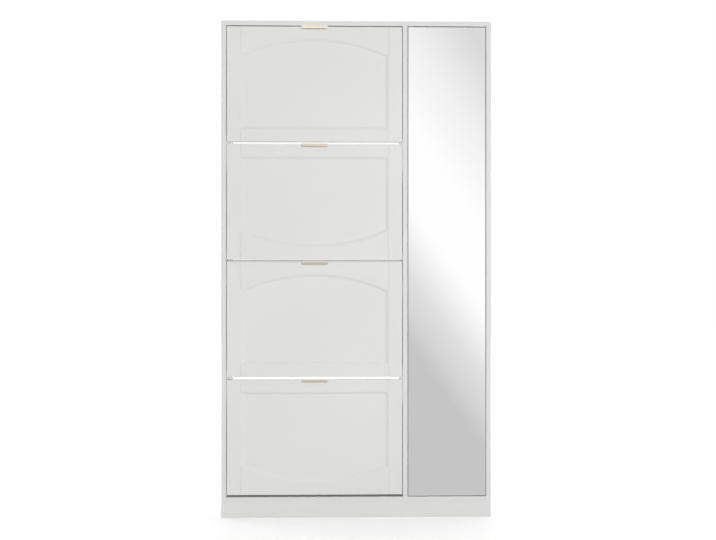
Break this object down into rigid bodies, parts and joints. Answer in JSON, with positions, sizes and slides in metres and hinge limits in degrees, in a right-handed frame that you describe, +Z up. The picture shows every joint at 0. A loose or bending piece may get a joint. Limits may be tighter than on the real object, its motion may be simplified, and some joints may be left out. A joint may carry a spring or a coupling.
{
  "type": "mirrored shoe cabinet",
  "caption": "Tall white shoe cabinet with flip-down arched drawers on one side and a full-height hinged mirror door over shelves on the other.",
  "frame": {"origin": "middle of the bottom of the whole object's box, pulls included, on the floor", "axes": "+X to the right of someone who faces the cabinet, +Y into the cabinet towards the wall, +Z up"},
  "size_m": [1, 0.25, 1.84],
  "materials": {
    "white_paint": "satin off-white paint on fibreboard",
    "rack_board": "thin white-faced hardboard",
    "beech": "plain beech",
    "champagne_metal": "brushed, champagne gold",
    "mirror_silver": "silvered glass",
    "grey_plastic": "moulded, fine grain",
    "black_plastic": "moulded nylon",
    "zinc_steel": "zinc plated",
    "nickel_steel": "nickel plated"
  },
  "bodies": {
    "carcass": {"left_side_panel": "white_paint", "right_side_panel": "white_paint", "divider_panel": "white_paint", "top_panel": "white_paint", "bottom_panel": "white_paint", "front_plinth": "white_paint", "rear_plinth": "white_paint", "drawer_bay_shelf": "white_paint", "top_back_rail": "white_paint", "middle_back_rail": "white_paint", "bottom_back_rail": "white_paint", "back_sheet": "rack_board", "fixed_shelf": "white_paint", "loose_shelves": "white_paint", "shelf_pins": "zinc_steel", "pivot_studs": "black_plastic", "stop_pegs": "black_plastic", "cam_locks": "zinc_steel", "dowels": "beech", "hinge_arms": "nickel_steel", "hinge_mounts": "nickel_steel", "mirror_bay_screws": "zinc_steel", "latch_housing": "grey_plastic"},
    "mirror_door": {"door_board": "white_paint", "mirror_glass": "mirror_silver", "hinge_cups": "nickel_steel", "latch_strike": "zinc_steel"},
    "latch": {"latch_plunger": "black_plastic"},
    "drawer_1": {"drawer_1_front": "white_paint", "drawer_1_pull": "champagne_metal", "drawer_1_left_plate": "grey_plastic", "drawer_1_right_plate": "grey_plastic", "drawer_1_floor_board": "rack_board", "drawer_1_pocket_divider": "rack_board", "drawer_1_back_board": "rack_board", "drawer_1_screws": "zinc_steel"},
    "drawer_2": {"drawer_2_front": "white_paint", "drawer_2_pull": "champagne_metal", "drawer_2_left_plate": "grey_plastic", "drawer_2_right_plate": "grey_plastic", "drawer_2_floor_board": "rack_board", "drawer_2_pocket_divider": "rack_board", "drawer_2_back_board": "rack_board", "drawer_2_screws": "zinc_steel"},
    "drawer_3": {"drawer_3_front": "white_paint", "drawer_3_pull": "champagne_metal", "drawer_3_left_plate": "grey_plastic", "drawer_3_right_plate": "grey_plastic", "drawer_3_floor_board": "rack_board", "drawer_3_pocket_divider": "rack_board", "drawer_3_back_board": "rack_board", "drawer_3_screws": "zinc_steel"},
    "drawer_4": {"drawer_4_front": "white_paint", "drawer_4_pull": "champagne_metal", "drawer_4_left_plate": "grey_plastic", "drawer_4_right_plate": "grey_plastic", "drawer_4_floor_board": "rack_board", "drawer_4_pocket_divider": "rack_board", "drawer_4_back_board": "rack_board", "drawer_4_screws": "zinc_steel"}
  },
  "joints": [
    {"name": "drawer_1_tilt", "type": "hinge", "parent": "carcass", "child": "drawer_1", "pos_m": [-0.155, -0.085, 1.532], "axis": [1, 0, 0], "range_deg": [0, 60]},
    {"name": "drawer_2_tilt", "type": "hinge", "parent": "carcass", "child": "drawer_2", "pos_m": [-0.155, -0.085, 1.096], "axis": [1, 0, 0], "range_deg": [0, 60]},
    {"name": "drawer_3_tilt", "type": "hinge", "parent": "carcass", "child": "drawer_3", "pos_m": [-0.155, -0.085, 0.66], "axis": [1, 0, 0], "range_deg": [0, 60]},
    {"name": "drawer_4_tilt", "type": "hinge", "parent": "carcass", "child": "drawer_4", "pos_m": [-0.155, -0.085, 0.224], "axis": [1, 0, 0], "range_deg": [0, 60]},
    {"name": "mirror_door_swing", "type": "hinge", "parent": "carcass", "child": "mirror_door", "pos_m": [0.4575, -0.1052, 0.949], "axis": [0, 0, 1], "range_deg": [0, 95]},
    {"name": "latch_press", "type": "slide", "parent": "carcass", "child": "latch", "axis": [0, 1, 0], "range_m": [0, 0.004], "stiffness_N_per_m": 400}
  ]
}
